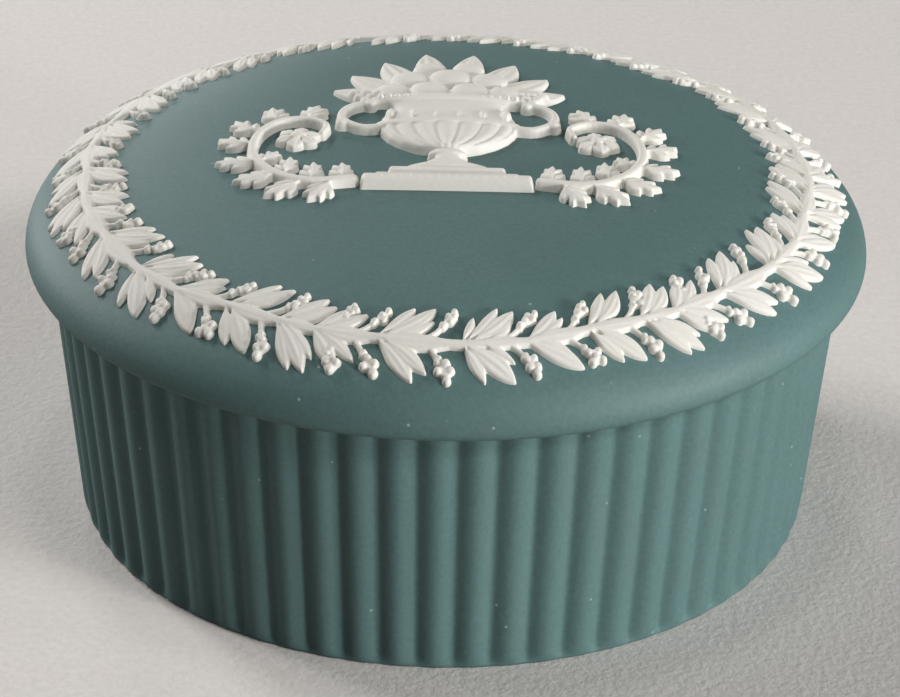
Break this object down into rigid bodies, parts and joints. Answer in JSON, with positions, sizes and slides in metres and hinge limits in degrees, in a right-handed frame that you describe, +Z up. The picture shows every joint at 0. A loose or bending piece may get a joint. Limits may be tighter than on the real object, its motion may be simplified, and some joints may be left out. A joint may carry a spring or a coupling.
{
  "type": "lidded round box",
  "caption": "Low round keepsake box with an upright-reeded wall and a domed lift-off lid that carries a white leaf wreath and an urn relief.",
  "frame": {"origin": "centre of the foot's underside, on the axis of the round box", "axes": "+Z up through the middle of the lid; -Y towards the viewed front, where the urn on the lid stands upright"},
  "size_m": [0.11, 0.11, 0.0508],
  "materials": {
    "teal_stoneware": "matte",
    "white_stoneware": "matte"
  },
  "bodies": {
    "body": {"pot": "teal_stoneware"},
    "cover": {"lid": "teal_stoneware", "wreath_strip_1": "white_stoneware", "wreath_strip_2": "white_stoneware", "wreath_strip_3": "white_stoneware", "wreath_strip_4": "white_stoneware", "wreath_strip_5": "white_stoneware", "wreath_strip_6": "white_stoneware", "wreath_strip_short": "white_stoneware", "relief_urn": "white_stoneware", "relief_spray_left": "white_stoneware", "relief_spray_right": "white_stoneware"}
  },
  "joints": [
    {"name": "lid_lift", "type": "slide", "parent": "body", "child": "cover", "axis": [0, 0, 1], "range_m": [0, 0.06]}
  ]
}
